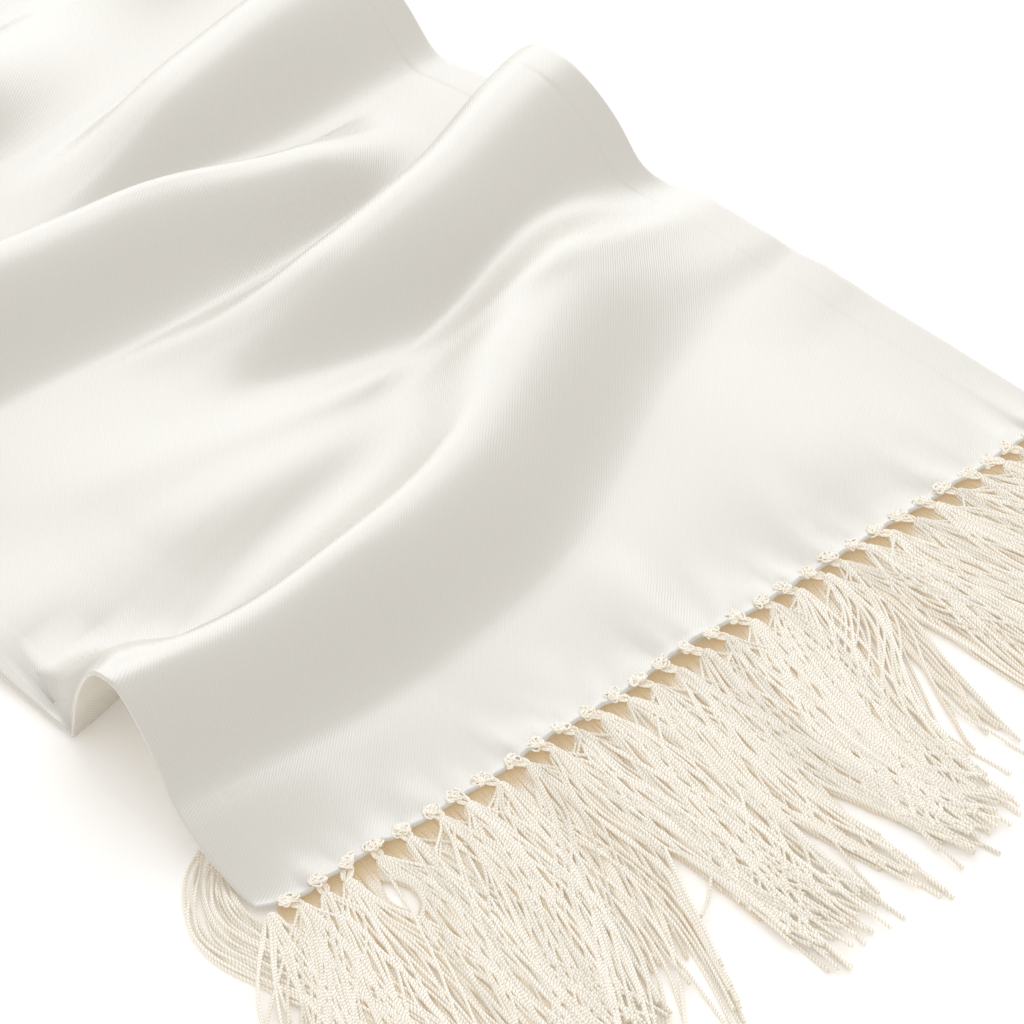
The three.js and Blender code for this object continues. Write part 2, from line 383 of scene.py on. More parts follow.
def panel_object(name, sizes, material, bridged, low, high, fine):
    """One panel of the tube and its flat length in metres.

    low and high are its two faces' shares of the tube's thickness, and fine scales its number of rows.
    """
    places = column_places()
    y = row_places(places, fine)
    x = np.broadcast_to(places, y.shape).copy()
    z = cloth_height(x, y, bridged) + hem_puckers(x, y, sizes)
    points = np.stack([x + edge_shift(x, y), y + hem_shift(x, y), z], -1)
    normals = grid_normals(points)
    steps = np.linalg.norm(np.diff(points, axis=0), axis=2)
    along = np.concatenate([np.zeros((1, len(places))), np.cumsum(steps, axis=0)])
    thick = sizes.cloth_thickness / MM
    half = thick * 0.5
    from_edge = HALF_WIDTH - np.abs(x)
    inset = np.minimum(from_edge, np.minimum(y, CLOTH_LENGTH - y))
    inset = np.clip(inset / half, 0, 1)
    round_edge = np.sqrt(np.clip(1 - (1 - inset) ** 2, 0.01, 1))
    past_band = from_edge - sizes.seam_band / MM
    seam = SEAM_RISE * smooth(from_edge / 1.5) * (1 - smooth((past_band + 1) / 2))
    seam = seam - SEAM_DIP * np.exp(-(((past_band - 0.4) / 0.7) ** 2))
    faces = []
    for share in (low, high):
        height = half + (share - 0.5) * thick * round_edge
        if share == 1:
            height = height + seam * (0.3 + 0.7 * smooth((y - 125) / 30))
        faces.append(points + normals * height[..., None])
    mesh = shell_mesh(name, *faces, np.stack([x, along], -1))
    mesh.materials.append(material)
    return new_object(name, mesh), float(along[-1].mean()) * MM


# ---- fringe

# How far along a cord each of its points lies, closest at the knot.
CORD_POINTS = 27
CORD_SHARES = np.linspace(0, 1, CORD_POINTS) ** 1.3

# The cords' headings in degrees from straight out of the hem, positive to the left. Each row holds a
# distance out from the hem and the headings there at these places across it.
FLOW_PLACES = (
    -150, -140, -130, -120, -110, -100, -85, -70, -55, -40, -25, -10, 5, 20, 35, 50, 65, 80, 100, 120, 140,
)
FLOW_NEAR = (
    (3, (30, 29, 27, 16, 2, 4, 10, 8, 8, 6, 8, 10, 16, 22, 20, 4, 2, -4, -10, -8, -4)),
    (30, (18, 20, 14, 4, 4, 12, 18, 18, 14, 12, 12, 14, 20, 26, 24, 4, 0, -6, -10, -6, -4)),
    (60, (-6, 4, 8, 8, 12, 22, 24, 22, 12, 4, 4, 8, 10, 18, 22, 6, 2, -4, -8, -4, -2)),
    (90, (-14, 0, 6, 10, 16, 20, 22, 18, 6, 2, 0, 2, 6, 12, 14, 6, 4, -2, -4, 0, 0)),
)
FLOW_FAR = (
    (3, (20, 16, 12, 8, 2, -2, 4, 8, 12, 4, -6, -10, -12, -6, 2, 8, 10, 12, 4, -8, -14)),
    (45, (6, 8, 10, 12, 8, 4, 8, 12, 14, 8, 2, -4, -8, -6, 0, 8, 14, 14, 8, 0, -8)),
    (90, (0, 4, 6, 8, 6, 4, 6, 8, 8, 6, 4, 0, -4, -4, 0, 4, 8, 8, 4, 0, -4)),
)

# Places where the fringe parts: apex x, y, heading, length, half width, softness. A closed one is a lens.
PARTINGS_NEAR = (
    (47.5, -31, 6, 60, 8, 6, False),
    (-58.5, -47, 14, 60, 13, 6, False),
    (-30.5, -60, -3, 60, 7, 4, False),
    (-16, -58, -5, 60, 9, 4, False),
    (20, -66, 2, 60, 7, 5, False),
    (-116, -8.5, -4, 16, 3.3, 2, True),
)
PARTINGS_FAR = (
    (-92, -44, 8, 60, 9, 6, False),
    (30, -38, -3, 60, 7, 6, False),
    (96, -56, 4, 60, 9, 5, False),
)

# How far the tassels' tops lie to the right of their knots, at places across the hem.
TOP_PLACES = (-137, -127, -117, -109, -88, -80)
TOP_SHIFTS = (1.5, -2, -4.5, -0.7, -0.3, 2)

# The loose bundle that bows out from under the cloth's left corner: points along its outer and its inner
# side, each cord's share of the way between the two, and the height of the cords' roots.
BOW_OUTER = (
    (-141, 27), (-147, 24.5), (-154.5, 17), (-160.5, 8), (-162.5, 0), (-160.8, -9), (-157.5, -18),
    (-156, -27), (-151, -42), (-147, -58), (-145, -74),
)
BOW_INNER = (
    (-141, 17), (-143, 15), (-145.5, 10), (-146.5, 4), (-146, -2), (-144.5, -8), (-142, -16),
    (-139, -25), (-136, -38), (-135, -52), (-135, -66),
)
BOW_SHARES = (0, 0.04, 0.09, 0.14, 0.2, 0.34, 0.39, 0.44, 0.5, 0.56, 0.68, 0.73, 0.79, 0.85, 0.92, 1)
BOW_ROOT = 0.5

# The low cords: how far apart they start, how many more start by the bundle and how far in from the edge,
# and their radius and sides.
LOW_PITCH = 0.6
LOW_EXTRA = 80
EXTRA_REACH = 33
LOW_RADIUS = 0.58
LOW_SIDES = 4

# The shares of low cords and of tassel cords that stray over a parting, and of those that leave a bundle.
LOW_STRAYS = 0.01
TASSEL_STRAYS = 0.03
LOOSE_CORDS = 0.2

# How far the low layer and the tassels pile up at most, and over what length their cords come down. The
# pile is kept on a grid of cells, and each step of a cord is cut into PILE_STEPS.
LOW_PILE = 0.5
LOW_FALL = 4
TASSEL_PILE = 2.5
TASSEL_FALL = 10
PILE_CELL = 0.5
PILE_STEPS = 5

# Cords that reach further left than this past the edge are eased back towards it.
LEFT_REACH = 26
LEFT_EASE = 9

# A knot's loops, its strands down to the tassel, and the points along and the sides of each.
KNOT_LOOPS = 14
KNOT_STRANDS = 4
LOOP_POINTS = 14
LOOP_SIDES = 5

# The two ends. The loose bundle is at the near one, and the far one is made like it and turned half round.
# sides is the number of sides of a tassel's cord.
End = namedtuple("End", "seed flow partings bundle turned sides")
NEAR_END = End(NEAR_SEED, FLOW_NEAR, PARTINGS_NEAR, True, False, 5)
FAR_END = End(FAR_SEED, FLOW_FAR, PARTINGS_FAR, False, True, 4)


def flow_at(table, points):
    """The table's heading at each point, in degrees."""
    out = -points[:, 1]
    rows = [np.interp(points[:, 0], FLOW_PLACES, headings) for _, headings in table]
    heading = rows[0]
    for (near, _), (far, _), row in zip(table[:-1], table[1:], rows[1:]):
        heading = heading + (row - heading) * smooth((out - near) / (far - near))
    return heading


def walk(start, change, table, length):
    """Paths from the starts that follow the table's headings, each with its own change of heading."""
    points = [start]
    for number, step in enumerate(np.diff(CORD_SHARES)):
        turn = np.radians(flow_at(table, points[-1]) + change[:, number])
        way = np.stack([np.sin(turn), np.cos(turn)], -1)
        points.append(points[-1] - way * (step * length)[:, None])
    return np.stack(points, 1)


def wander(rng, count, start, middle, end):
    """Changes of heading of the given spreads at the knot, in the middle and at the tip."""
    first, last = smooth(CORD_SHARES / 0.35), smooth((CORD_SHARES - 0.35) / 0.65)
    parts = rng.normal(0, 1, (3, count, 1))
    return parts[0] * start * (1 - first) + parts[1] * middle * (first - last) + parts[2] * end * last


def lower_cords(rng, end, sizes):
    """Paths of the cords that lie lowest, side by side along the whole hem."""
    reach = HALF_WIDTH - 1
    place = np.arange(-reach, reach, LOW_PITCH)
    if end.bundle:
        place = np.concatenate([place, rng.uniform(-reach, -reach + EXTRA_REACH, LOW_EXTRA)])
    count = len(place)
    start = np.stack([place, np.full(count, 0.4)], -1)
    length = sizes.fringe_length / MM * rng.uniform(0.7, 0.93, count)
    return walk(start, wander(rng, count, 1.5, 3, 8), end.flow, length)


def bundle_cords(rng, line, reached, layer, count):
    """Paths of one bundle's cords on both sides of its middle line, each with the height of its root."""
    way = np.gradient(line, axis=0)
    way /= np.linalg.norm(way, axis=1, keepdims=True)
    aside = np.stack([-way[:, 1], way[:, 0]], -1)
    neck = 2.0 * (0.7 + 0.3 * smooth(reached / 1.8))
    half = neck + rng.uniform(2.0, 5.0) * smooth(reached / 30) + rng.uniform(0.6, 2.6) * reached / 90
    cords = []
    for share in np.linspace(-1, 1, count):
        loose = rng.normal(0, 1) * (0.9 * smooth(reached / 16) + 4.4 * (reached / 90) ** 1.3)
        wave = rng.normal(0, 1.1) * np.sin(reached / rng.uniform(9, 16) + rng.uniform(0, 6))
        offset = share * half + loose + wave * smooth(reached / 20)
        if rng.uniform() < LOOSE_CORDS:
            out = rng.choice((-1, 1)) * rng.uniform(2.5, 8)
            offset = offset + out * smooth(reached / 11) * (1 - 0.6 * smooth((reached - 14) / 30))
        stretch = 1 + rng.normal(0, 0.045)
        path = line[0] + (line - line[0]) * stretch + aside * offset[:, None]
        path = path + way * (0.8 * share**2 * (1 - smooth(reached / 6)))[:, None]
        root = 1.3 + 0.9 * math.sqrt(max(1 - share**2, 0)) + 0.35 * layer
        cords.append((path, root))
    return cords


def tassel_cords(rng, knots, end, sizes):
    """Paths of the tassels' cords, the heights of their roots and their painted dim shades, two bundles to
    a knot.
    """
    full = sizes.fringe_length / MM
    reached = CORD_SHARES * sizes.fringe_length / MM
    count = sizes.cords_per_knot // 2
    bundles = []
    for knot in knots:
        shift = np.interp(knot, TOP_PLACES, TOP_SHIFTS)
        drop = 4.2 - 3 * smooth((-139 - knot) / 4)
        top = np.array([[knot + shift + rng.uniform(-0.5, 0.5), rng.uniform(-0.6, 0.6) - drop]])
        side = rng.choice((-1, 1))
        for layer in (0, 1):
            slant = side * (1 - 2 * layer) * rng.uniform(2, 11) - 3
            change = wander(rng, 1, 5, 10, 15) + slant * (1 - smooth(reached / 60))
            line = walk(top, change, end.flow, np.array([full + rng.normal(0, 3.5)]))[0]
            bundles.append(bundle_cords(rng, line, reached, layer, count))
    order = rng.permutation(len(bundles))
    cords = [cord for number in order for cord in bundles[number]]
    # Painted shade: each bundle gets a random share of a dimmer copy of the cord colour, as if it caught
    # less light.
    tone = np.repeat(rng.uniform(0, 1, len(bundles)) ** 2, count)
    paths, roots = zip(*cords)
    return np.array(paths), np.array(roots), tone


def bow_cords(rng):
    """Paths of the loose bundle at the left corner."""
    outer, inner = np.array(BOW_OUTER, float), np.array(BOW_INNER, float)
    stations = np.linspace(0, 1, len(outer))
    places = np.linspace(0, 1, CORD_POINTS)
    paths = []
    for share in BOW_SHARES:
        line = blend(outer, inner, share) + rng.normal(0, 0.7, outer.shape)
        path = np.stack([np.interp(places, stations, line[:, axis]) for axis in (0, 1)], -1)
        for _ in range(4):
            path[1:-1] = (path[:-2] + 2 * path[1:-1] + path[2:]) / 4
        paths.append(path)
    return np.array(paths)


def part_cords(rng, paths, partings, strays):
    """Opens the fringe at the partings. Each cord keeps to the side on which it passes the apex.

    strays is the share of cords that cross a parting as they were.
    """
    for apex_x, apex_y, heading, length, half_width, soft, closed in partings:
        turn = math.radians(heading)
        out = np.array([-math.sin(turn), -math.cos(turn)])
        side = np.array([out[1], -out[0]])
        offset = paths - np.array([apex_x, apex_y])
        along = offset @ out
        aside = offset @ side
        first = np.argmax(along > 0, axis=1)
        sign = np.where(np.take_along_axis(aside, first[:, None], 1) < 0, -1, 1)
        share = np.clip(along / length, 0, 1 if closed else 1.2)
        wedge = half_width * (np.sin(share * math.pi) if closed else share)
        hold = np.sin(share * math.pi) if closed else 1
        ease = np.minimum(soft, 0.2 + along * 0.35) * hold + 0.01
        distance = aside * sign
        reach = wedge + ease
        moved = wedge + ease * np.exp(np.minimum(distance - reach, 0) / ease)
        inside = (along > 0) & (distance < reach) & (share < 1 if closed else True)
        keep = rng.uniform(0, 1, (len(paths), 1)) < strays
        change = np.where(inside & ~keep, (moved - distance) * sign, 0)
        paths += change[..., None] * side
    return paths


def pile_up(groups):
    """Heights that make each cord lie over those laid before it, and how far the first group is covered.

    A group holds paths, radii, the heights of the roots, how many millimetres the cords take to come down
    and the height that its pile never passes.
    """
    every = np.concatenate([group[0].reshape(-1, 2) for group in groups])
    low = every.min(0) - 4
    size = np.ceil((every.max(0) + 4 - low) / PILE_CELL).astype(int)
    top = np.zeros(size)
    covered = np.zeros(size, bool)
    fine = np.linspace(0, CORD_POINTS - 1, (CORD_POINTS - 1) * PILE_STEPS + 1)
    points = np.arange(CORD_POINTS)
    window = np.ones(9) / 9
    heights = []
    for paths, radii, roots, fall, cap in groups:
        group = np.zeros(paths.shape[:2])
        for cord, path in enumerate(paths):
            plan = np.stack([np.interp(fine, points, path[:, axis]) for axis in (0, 1)], -1)
            i, j = ((plan - low) / PILE_CELL).astype(int).T
            under = np.maximum(top[i, j], np.maximum(top[i + 1, j], top[i, j + 1]))
            padded = np.pad(under, 5, mode="edge")
            peak = np.max([padded[k : k + len(under)] for k in range(11)], axis=0)
            peak = np.convolve(np.pad(peak, 4, mode="edge"), window, mode="valid")
            thick = np.interp(fine, points, radii[cord])
            height = thick + cap * (1 - np.exp(-peak / cap))
            travelled = np.concatenate([[0], np.cumsum(np.hypot(*np.diff(plan, axis=0).T))])
            root = 1 - smooth((travelled - 1.5) / fall)
            height = height * (1 - root) + roots[cord] * root
            for di, dj in ((0, 0), (0, 1), (1, 0), (1, 1)):
                np.maximum.at(top, (i + di, j + dj), np.where(root < 0.6, height + thick * 0.55, 0))
                covered[i + di, j + dj] |= bool(heights)
            group[cord] = height[::PILE_STEPS]
        heights.append(group)
    i, j = ((groups[0][0] - low) / PILE_CELL).astype(int).transpose(2, 0, 1)
    near = [covered[i + di, j + dj] for di in range(-2, 4) for dj in range(-2, 4)]
    return heights, np.mean(near, axis=0)


def node_maker(tree, family):
    """Short ways to add a node, to feed its inputs, to reckon and to mix colours.

    An input is fed with a value, an output or a node, which stands for its first output.
    """

    def feed(node, inputs):
        for key, source in inputs.items():
            source = source.outputs[0] if hasattr(source, "outputs") else source
            if hasattr(source, "is_output"):
                tree.links.new(source, node.inputs[key])
            else:
                node.inputs[key].default_value = source
        return node

    def add(kind, inputs=None, **settings):
        node = tree.nodes.new(family + kind)
        for key, value in settings.items():
            setattr(node, key, value)
        return feed(node, inputs or {})

    def maths(operation, *values, clamp=False):
        return add("Math", dict(enumerate(values)), operation=operation, use_clamp=clamp)

    def mixed(first, second, share):
        return add("MixRGB", {"Color1": first, "Color2": second, "Fac": share})

    return add, feed, maths, mixed


def cord_tree():
    """Geometry Nodes that turn paths into round cords and note the way along and around each of them."""
    tree = bpy.data.node_groups.new("Twisted cord", "GeometryNodeTree")
    for name, kind in (("Geometry", "Geometry"), ("Sides", "Int"), ("Finish", "Material")):
        tree.interface.new_socket(name, in_out="INPUT", socket_type="NodeSocket" + kind)
    tree.interface.new_socket("Geometry", in_out="OUTPUT", socket_type="NodeSocketGeometry")
    add, feed, _, _ = node_maker(tree, "GeometryNode")
    start = tree.nodes.new("NodeGroupInput").outputs
    line = add("MeshToCurve", {"Mesh": start["Geometry"]})
    note = {"Geometry": line, "Name": "along", "Value": add("SplineParameter").outputs["Length"]}
    line = add("StoreNamedAttribute", note)
    circle = add("CurvePrimitiveCircle", {"Resolution": start["Sides"], "Radius": 1})
    note = {"Geometry": circle, "Name": "around", "Value": add("InputPosition")}
    circle = add("StoreNamedAttribute", note, data_type="FLOAT_VECTOR")
    radius = add("InputNamedAttribute", {"Name": "thickness"})
    sweep = {"Curve": line, "Profile Curve": circle, "Scale": radius, "Fill Caps": True}
    cord = add("SetShadeSmooth", {"Geometry": add("CurveToMesh", sweep)})
    cord = add("RealizeInstances", {"Geometry": cord})
    cord = add("SetMaterial", {"Geometry": cord, "Material": start["Finish"]})
    feed(tree.nodes.new("NodeGroupOutput"), {"Geometry": cord})
    return tree


def cords_object(name, paths, thickness, shade, tone, closed, sides, material):
    """Round cords along paths given in metres, as one plain mesh."""
    count, steps = paths.shape[:2]
    index = np.arange(count * steps).reshape(count, steps)
    edges = np.stack([index[:, :-1], index[:, 1:]], -1).reshape(-1, 2)
    if closed:
        edges = np.concatenate([edges, np.stack([index[:, -1], index[:, 0]], -1)])
    mesh = bpy.data.meshes.new(name + "_paths")
    mesh.vertices.add(count * steps)
    mesh.vertices.foreach_set("co", paths.ravel())
    mesh.edges.add(len(edges))
    mesh.edges.foreach_set("vertices", edges.ravel())
    for key, values in (("thickness", thickness), ("shade", shade), ("tone", tone)):
        layer = mesh.attributes.new(key, "FLOAT", "POINT")
        layer.data.foreach_set("value", np.broadcast_to(values, (count, steps)).ravel().astype(np.float32))
    mesh.update()
    maker = new_object(name + "_paths", mesh)
    tree = bpy.data.node_groups.get("Twisted cord") or cord_tree()
    modifier = maker.modifiers.new("Cords", "NODES")
    modifier.node_group = tree
    inputs = {item.name: item.identifier for item in tree.interface.items_tree if item.in_out == "INPUT"}
    modifier[inputs["Sides"]] = sides
    modifier[inputs["Finish"]] = material
    ready = maker.evaluated_get(bpy.context.evaluated_depsgraph_get())
    solid = bpy.data.meshes.new_from_object(ready)
    solid.name = name
    bpy.data.objects.remove(maker)
    bpy.data.meshes.remove(mesh)
    return new_object(name, solid)


def to_frame(plan, height, turned):
    """Points in metres in the part's frame, turned half round for the far end."""
    points = np.concatenate([plan, height[..., None]], -1) * MM
    points[..., 1] += NEAR_HEM
    if turned:
        points[..., :2] *= -1
    return points


def knot_places(rng, sizes):
    """Where the knots sit along the hem."""
    count = sizes.knot_count
    pitch = 2 * HALF_WIDTH / count
    return -HALF_WIDTH + pitch * (np.arange(count) + 0.5) + rng.uniform(-0.8, 0.8, count)


def make_fringe(name, end, sizes, material):
    """One fringe as two meshes of cords: the layer that lies lowest, and the tassels on it."""
    rng = np.random.default_rng(end.seed)
    knots = knot_places(rng, sizes)
    reached = CORD_SHARES * sizes.fringe_length / MM
    low = part_cords(rng, lower_cords(rng, end, sizes), end.partings, LOW_STRAYS)
    low = low[rng.permutation(len(low))]
    places = [-HALF_WIDTH - 4, *knots] if end.bundle else knots
    tassels, roots, tone = tassel_cords(rng, places, end, sizes)
    tassels = part_cords(rng, tassels, end.partings, TASSEL_STRAYS)
    if end.bundle:
        count = len(BOW_SHARES)
        tassels = np.concatenate([bow_cords(rng), tassels])
        roots = np.concatenate([np.full(count, BOW_ROOT), roots])
        tone = np.concatenate([rng.uniform(0, 0.3, count), tone])
    low_radii = np.full(low.shape[:2], LOW_RADIUS)
    flare = 1 + 0.35 * smooth((CORD_SHARES - 0.97) / 0.03)
    slim = 0.8 + 0.2 * smooth(CORD_SHARES / 0.1)
    radii = sizes.cord_thickness / MM / 2 * slim * flare * rng.uniform(0.9, 1.08, (len(tassels), 1))
    for paths in (low, tassels):
        beyond = np.maximum(-HALF_WIDTH - LEFT_REACH - paths[..., 0], 0)
        paths[..., 0] += beyond - LEFT_EASE * (1 - np.exp(-beyond / LEFT_EASE))
    lowest = (low, low_radii, low_radii[:, 0], LOW_FALL, LOW_PILE)
    (low_heights, heights), cover = pile_up((lowest, (tassels, radii, roots, TASSEL_FALL, TASSEL_PILE)))
    # Painted shade on the low cords: full just beyond the hem, where the hem and knots shade them, a small
    # random share on each cord, and more where the tassels cover them.
    deep = np.maximum(1 - smooth((reached - 6) / 9), rng.uniform(0.03, 0.33, (len(low), 1)))
    deep = np.maximum(deep, 0.5 * smooth((cover - 0.35) / 0.45))
    # Painted shade: each low cord gets a random share of the dimmer cord colour.
    low_tone = rng.uniform(0, 0.4, len(low))
    warm = rng.uniform(0, 0.4, (len(tassels), 1)) ** 2
    pieces = []
    for kind, paths, tall, thick, shade, dull, sides in (
        ("_low", low, low_heights, low_radii, deep, low_tone, LOW_SIDES),
        ("", tassels, heights, radii, warm, tone, end.sides),
    ):
        dull = np.clip(dull + rng.uniform(-0.3, 0.4, len(dull)), 0, 1)[:, None]
        points = to_frame(paths, tall, end.turned)
        pieces.append(cords_object(name + kind, points, thick * MM, shade, dull, False, sides, material))
    return pieces


def hem_top(x, turned, sizes):
    """The height of the cloth's top just inside a hem."""
    inside = np.full_like(x, 1.5)
    if turned:
        x, inside = -x, CLOTH_LENGTH - inside
    return cloth_height(x, inside, True) + hem_puckers(x, inside, sizes) + sizes.cloth_thickness / MM


def knot_loops(rng, x, over, top):
    """One knot's loops and strands: middle, half length and half width, tilt, height and arch of each."""
    loops = []
    for number in range(KNOT_LOOPS):
        middle = (x - 0.5 + rng.uniform(-1.9, 1.3), -0.8 + rng.uniform(-1, 1))
        size = (rng.uniform(0.8, 1.6), rng.uniform(0.45, 1))
        loops.append((middle, size, rng.uniform(0, math.pi), max(over, top) + 0.1 + 0.07 * number, 0))
    shift = np.interp(x, TOP_PLACES, TOP_SHIFTS) + 0.4
    for number in range(KNOT_STRANDS):
        middle = (x - 0.4 + shift * 0.55 + rng.uniform(-0.3, 0.3), -2.6 + rng.uniform(-0.3, 0.3))
        size = (math.hypot(shift, 3.5) * rng.uniform(0.46, 0.56), 0.4 + 0.32 * number)
        tilt = math.atan2(-3.5, shift) + rng.uniform(-0.15, 0.15)
        loops.append((middle, size, tilt, top + 0.35 + 0.1 * number, 0.25))
    return loops


def make_knots(name, end, sizes, material):
    """One row of knots: small tangles of thin cord on the hem, with strands down to the tassels."""
    rng = np.random.default_rng(end.seed)
    knots = knot_places(rng, sizes)
    turn = np.linspace(0, 2 * math.pi, LOOP_POINTS, endpoint=False)
    plans, heights = [], []
    for x, over in zip(knots, hem_top(knots - 0.8, end.turned, sizes)):
        top = sizes.cloth_thickness / MM + rng.uniform(0, 0.15)
        for (cx, cy), (long, wide), tilt, high, arch in knot_loops(rng, x, over, top):
            a, b = long * np.cos(turn), wide * np.sin(turn)
            cos, sin = math.cos(tilt), math.sin(tilt)
            plans.append(np.stack([cx + a * cos - b * sin, cy + a * sin + b * cos], -1))
            rise = 0.25 * np.sin(turn + rng.uniform(0, 6)) + 0.12 * np.sin(2 * turn + rng.uniform(0, 6))
            heights.append(high + rise * (1 - 2 * arch) + arch * np.sin(turn) ** 2)
    points = to_frame(np.array(plans), np.array(heights), end.turned)
    # A small random share of painted dim shade for each loop.
    tone = rng.uniform(0, 0.05, (len(points), 1))
    return cords_object(name, points, sizes.knot_cord * 0.5, 0, tone, True, LOOP_SIDES, material)


# ---- materials


# How deep the twist of each cord and the ribs of the twill are, in metres.
CORD_RELIEF = {"twisted_cord": 0.00018, "fine_cord": 0.00006}
RIB_RELIEF = 0.00005


def new_material(name):
    """A new material with its shader, and the short ways to build its nodes."""
    material = bpy.data.materials.new(name)
    material.use_nodes = True
    tree = material.node_tree
    return material, tree.nodes["Principled BSDF"], *node_maker(tree, "ShaderNode")


def silk_material(name, sizes, colours):
    """Ivory silk twill: fine diagonal ribs that follow the cloth, and a soft sheen.

    A weak glow on faces that look down stands in for the light that comes through the thin cloth.
    """
    material, shader, add, feed, maths, mixed = new_material(name)
    weave = add("UVMap", uv_map="weave")
    turns = 2 * math.pi / sizes.twill_pitch
    slope = {0: weave, 1: (0.73 * turns, -0.68 * turns, 0)}
    ribs_way = add("VectorMath", slope, operation="DOT_PRODUCT").outputs["Value"]
    threads = add("TexNoise", {"Scale": 260, "Detail": 2, "Vector": weave})
    uneven = maths("ADD", ribs_way, maths("MULTIPLY", threads, 2.2))
    ribs = maths("MULTIPLY_ADD", maths("SINE", uneven), 0.5, 0.5)
    cloud = add("TexNoise", {"Scale": 18, "Detail": 3, "Vector": weave})
    light = maths("ADD", maths("MULTIPLY", ribs, 0.6), maths("MULTIPLY", cloud, 0.5), clamp=True)
    facing = add("SeparateXYZ", {0: add("NewGeometry").outputs["Normal"]}).outputs["Z"]
    through = maths("MULTIPLY", facing, -4.0, clamp=True)
    inputs = {
        "Base Color": mixed((*colours.silk_shade, 1), (*colours.silk, 1), light),
        "Roughness": add("MapRange", {"To Min": 0.29, "To Max": 0.35, "Value": cloud}),
        "Specular IOR Level": 1.0,
        "IOR": 1.8,
        "Sheen Weight": 0.03,
        "Sheen Roughness": 0.4,
        "Emission Color": mixed((0, 0, 0, 1), (1, 0.91, 0.76, 1), through),
        "Emission Strength": 0.12,
        "Normal": add("Bump", {"Strength": 0.82, "Distance": RIB_RELIEF, "Height": ribs}),
    }
    feed(shader, inputs)
    return material


def cord_material(name, sizes, colours):
    """Cream silk cord of two plies twisted together, with painted shade in the grooves, deep in the pile
    and on bundles that would catch less light.

    A weak warm glow, stronger in depth, stands in for light that scatters among the cords.
    """
    material, shader, add, feed, maths, mixed = new_material(name)
    marks = [add("Attribute", attribute_name=key) for key in ("along", "shade", "tone", "around")]
    along, shade, tone = (mark.outputs["Fac"] for mark in marks[:3])
    around = marks[3].outputs["Vector"]
    turn = maths("MULTIPLY", along, 2 * math.pi / sizes.cord_lay)
    # The painted dim shade also turns each cord's twist by a random amount.
    turn = maths("ADD", turn, maths("MULTIPLY", tone, 40.0))
    parts = add("SeparateXYZ", {0: around}).outputs
    first = maths("MULTIPLY", parts["X"], maths("COSINE", turn))
    second = maths("MULTIPLY", parts["Y"], maths("SINE", turn))
    ply = maths("POWER", maths("ABSOLUTE", maths("ADD", first, second)), 0.6)
    # Painted shade: darker in the grooves between the plies, and fully the shade colour where the shade
    # mark is full.
    groove = maths("MULTIPLY", maths("SUBTRACT", 1.0, ply), 0.5)
    shallow = maths("SUBTRACT", 1.0, shade)
    dark = maths("ADD", maths("MULTIPLY", groove, shallow), shade, clamp=True)
    # Painted shade: the dim shade mixes the cord colour towards its dimmer copy.
    base = mixed((*colours.cord, 1), (*colours.cord_dull, 1), tone)
    bump = {"Strength": 0.9, "Distance": CORD_RELIEF[name], "Height": ply}
    inputs = {
        "Base Color": mixed(base, (*colours.cord_shade, 1), dark),
        "Roughness": 0.4,
        "Specular IOR Level": 0.6,
        "Sheen Weight": 0.3,
        "Sheen Roughness": 0.5,
        "Emission Color": mixed((0.34, 0.29, 0.21, 1), (1, 0.77, 0.47, 1), shade),
        "Emission Strength": 0.3,
        "Normal": add("Bump", bump),
    }
    feed(shader, inputs)
    return material


def floor_material(name, sizes, colours):
    """A plain pale surface with a slight glow."""
    material, shader, _, feed, _, _ = new_material(name)
    inputs = {
        "Base Color": (*colours.floor, 1),
        "Roughness": 0.9,
        "Specular IOR Level": 0.1,
        "Emission Color": (1, 1, 1, 1),
        "Emission Strength": 0.08,
    }
    feed(shader, inputs)
    return material


# ---- settings


def millimetres(name, description, default):
    """A length that the user can change."""
    return bpy.props.FloatProperty(
        name=name, description=description, default=default * MM, precision=5, unit="LENGTH"
    )


def how_many(name, description, default):
    """A number of like things that the user can change."""
    return bpy.props.IntProperty(name=name, description=description, default=default, min=2)


def colour(name, description, default):
    """A colour that the user can change."""
    return bpy.props.FloatVectorProperty(
        name=name, description=description, default=default, subtype="COLOR", min=0, max=1
    )


class ScarfSizes(bpy.types.PropertyGroup):
    """The scarf's sizes"""

    cloth_thickness: millimetres("Cloth thickness", "Both layers of the tube together", 1.2)
    seam_band: millimetres("Seam band", "Width of the seam allowance, a faint band inside each edge", 12)
    twill_pitch: millimetres("Twill pitch", "Distance from one diagonal rib of the weave to the next", 0.7)
    knot_count: how_many("Knots", "Number of knots along each hem", 32)
    cords_per_knot: how_many("Cords to a knot", "Number of cords that hang from each knot", 18)
    cord_thickness: millimetres("Cord thickness", "Diameter of a fringe cord", 0.9)
    cord_lay: millimetres("Cord lay", "Length of one full turn of the cord's two plies", 2.15)
    fringe_length: millimetres("Fringe length", "Length of a cord from its knot", 89)
    knot_cord: millimetres("Knot cord", "Diameter of the cord in the knots", 0.58)


class ScarfColours(bpy.types.PropertyGroup):
    """The scarf's colours"""

    silk: colour("Silk", "Colour of the cloth", (0.645, 0.615, 0.552))
    silk_shade: colour("Silk in the weave", "Colour between the ribs", (0.605, 0.575, 0.512))
    cord: colour("Cord", "Colour of the fringe", (1.0, 0.965, 0.885))
    # Painted shade: a dimmer copy of the cord colour for bundles that would catch less light.
    cord_dull: colour("Dull cord", "Colour of the bundles that catch less light", (0.78, 0.75, 0.67))
    # Painted shade: the colour painted into the cord's grooves and deep in the pile.
    cord_shade: colour("Cord in depth", "Colour in the grooves and deep in the pile", (0.38, 0.275, 0.16))
    floor: colour("Floor", "Colour of the surface under the scarf", (0.95, 0.93, 0.9))


# ---- operators


